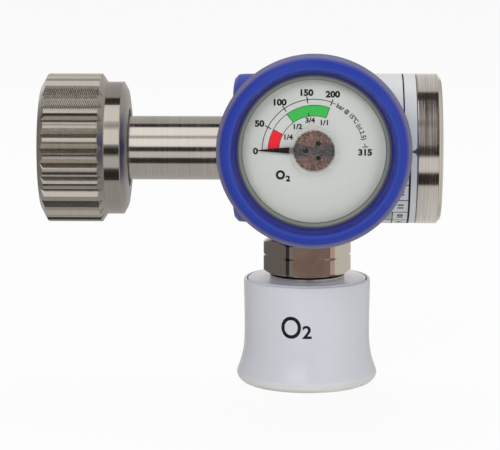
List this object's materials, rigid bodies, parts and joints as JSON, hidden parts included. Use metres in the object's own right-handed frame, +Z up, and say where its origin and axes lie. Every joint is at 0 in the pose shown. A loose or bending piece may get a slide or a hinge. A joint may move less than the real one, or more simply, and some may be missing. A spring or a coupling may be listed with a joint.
{
  "type": "oxygen regulator",
  "caption": "Compact cylinder gas regulator with a knurled hand nut and stem, turned body, dial gauge in a blue guard, hexagon fitting and white sleeve coupler.",
  "frame": {"origin": "on the coupler axis at the mouth of the outlet bore, in the plane of the white sleeve's lower edge", "axes": "+X along the body axis towards the end cap, -Y towards the viewer of the dial, +Z up"},
  "size_m": [0.1212, 0.0687, 0.1042],
  "materials": {
    "nickel_knurled": "nickel plated, milled grooves",
    "nickel_turned": "nickel plated, fine turned",
    "body_brass": "machined",
    "blue_plastic": "smooth moulded, satin",
    "white_plastic": "smooth moulded",
    "label_film": "printed film",
    "rubber_seal": "moulded",
    "spring_steel": "drawn",
    "seat_plastic": "machined",
    "gauge_steel": "satin",
    "lens_clear": "clear polycarbonate",
    "hub_disc": "frosted",
    "dial_face": "matt printed",
    "pointer_black": "matt",
    "tube_bronze": "drawn"
  },
  "bodies": {
    "regulator": {"inlet_nipple": "nickel_turned", "nut_retaining_ring": "spring_steel", "inlet_seal_ring": "rubber_seal", "inlet_filter": "body_brass", "filter_clip": "spring_steel", "regulator_body": "body_brass", "body_cover": "blue_plastic", "rating_label": "label_film", "end_cap": "nickel_turned", "end_cap_seal": "rubber_seal", "piston_stem_seal": "rubber_seal", "main_spring": "spring_steel", "seat_holder": "body_brass", "valve_seat": "seat_plastic", "gauge_guard": "blue_plastic", "gauge_case": "gauge_steel", "gauge_bezel": "gauge_steel", "gauge_lens": "lens_clear", "lens_hub_disc": "hub_disc", "dial_spacer": "gauge_steel", "gauge_dial": "dial_face", "movement_frame": "body_brass", "bourdon_tube": "tube_bronze", "gauge_socket": "body_brass", "outlet_fitting": "nickel_turned", "outlet_seal": "rubber_seal", "outlet_washer": "nickel_turned", "coupler_top_disc": "white_plastic", "coupler_body": "nickel_turned", "sleeve_stop_ring": "spring_steel", "sleeve_spring": "spring_steel", "check_valve_spring": "spring_steel", "probe_seal": "rubber_seal"},
    "hand_nut": {"inlet_hand_nut": "nickel_knurled"},
    "piston": {"piston": "body_brass", "piston_seal": "rubber_seal"},
    "sleeve": {"coupler_sleeve": "white_plastic"},
    "poppet": {"check_valve_poppet": "body_brass", "check_valve_seal": "rubber_seal"},
    "ball_1": {"locking_ball_1": "spring_steel"},
    "ball_2": {"locking_ball_2": "spring_steel"},
    "ball_3": {"locking_ball_3": "spring_steel"},
    "sector": {"sector_gear": "body_brass"},
    "pointer": {"gauge_pointer": "pointer_black", "pointer_arbor": "body_brass"},
    "link": {"movement_link": "body_brass"}
  },
  "joints": [
    {"name": "nut_spin", "type": "hinge", "parent": "regulator", "child": "hand_nut", "pos_m": [-0.068, 0, 0.0719], "axis": [1, 0, 0], "continuous": true},
    {"name": "piston_slide", "type": "slide", "parent": "regulator", "child": "piston", "axis": [-1, 0, 0], "range_m": [0, 0.0012], "stiffness_N_per_m": 4000, "springref_m": -0.01, "deforming": ["main_spring"]},
    {"name": "sleeve_slide", "type": "slide", "parent": "regulator", "child": "sleeve", "axis": [0, 0, 1], "range_m": [0, 0.004], "stiffness_N_per_m": 2500, "springref_m": -0.004, "deforming": ["sleeve_spring"]},
    {"name": "valve_lift", "type": "slide", "parent": "regulator", "child": "poppet", "axis": [0, 0, 1], "range_m": [0, 0.003], "stiffness_N_per_m": 300, "springref_m": -0.003, "deforming": ["check_valve_spring"]},
    {"name": "ball_1_release", "type": "slide", "parent": "regulator", "child": "ball_1", "axis": [0, 1, 0], "range_m": [0, 0.00061]},
    {"name": "ball_2_release", "type": "slide", "parent": "regulator", "child": "ball_2", "axis": [-0.866, -0.5, 0], "range_m": [0, 0.00061]},
    {"name": "ball_3_release", "type": "slide", "parent": "regulator", "child": "ball_3", "axis": [0.866, -0.5, 0], "range_m": [0, 0.00061]},
    {"name": "sector_turn", "type": "hinge", "parent": "regulator", "child": "sector", "pos_m": [0.00185, -0.034, 0.0645], "axis": [0, -1, 0], "range_deg": [0, 25.92], "stiffness_Nm_per_rad": 0.002, "springref_deg": -14.32},
    {"name": "pointer_turn", "type": "hinge", "parent": "regulator", "child": "pointer", "pos_m": [0.00185, -0.036, 0.076], "axis": [0, 1, 0], "range_deg": [0, 172.8]},
    {"name": "link_turn", "type": "hinge", "parent": "sector", "child": "link", "pos_m": [0.00575, -0.032, 0.0636], "axis": [0, 1, 0], "range_deg": [0, 25.92]}
  ],
  "couplings": [
    {"joint": "ball_1_release", "follows": "sleeve_slide", "ratio": 0.15},
    {"joint": "ball_2_release", "follows": "sleeve_slide", "ratio": 0.15},
    {"joint": "ball_3_release", "follows": "sleeve_slide", "ratio": 0.15},
    {"joint": "pointer_turn", "follows": "sector_turn", "ratio": 6.6667},
    {"joint": "link_turn", "follows": "sector_turn", "ratio": 1}
  ]
}
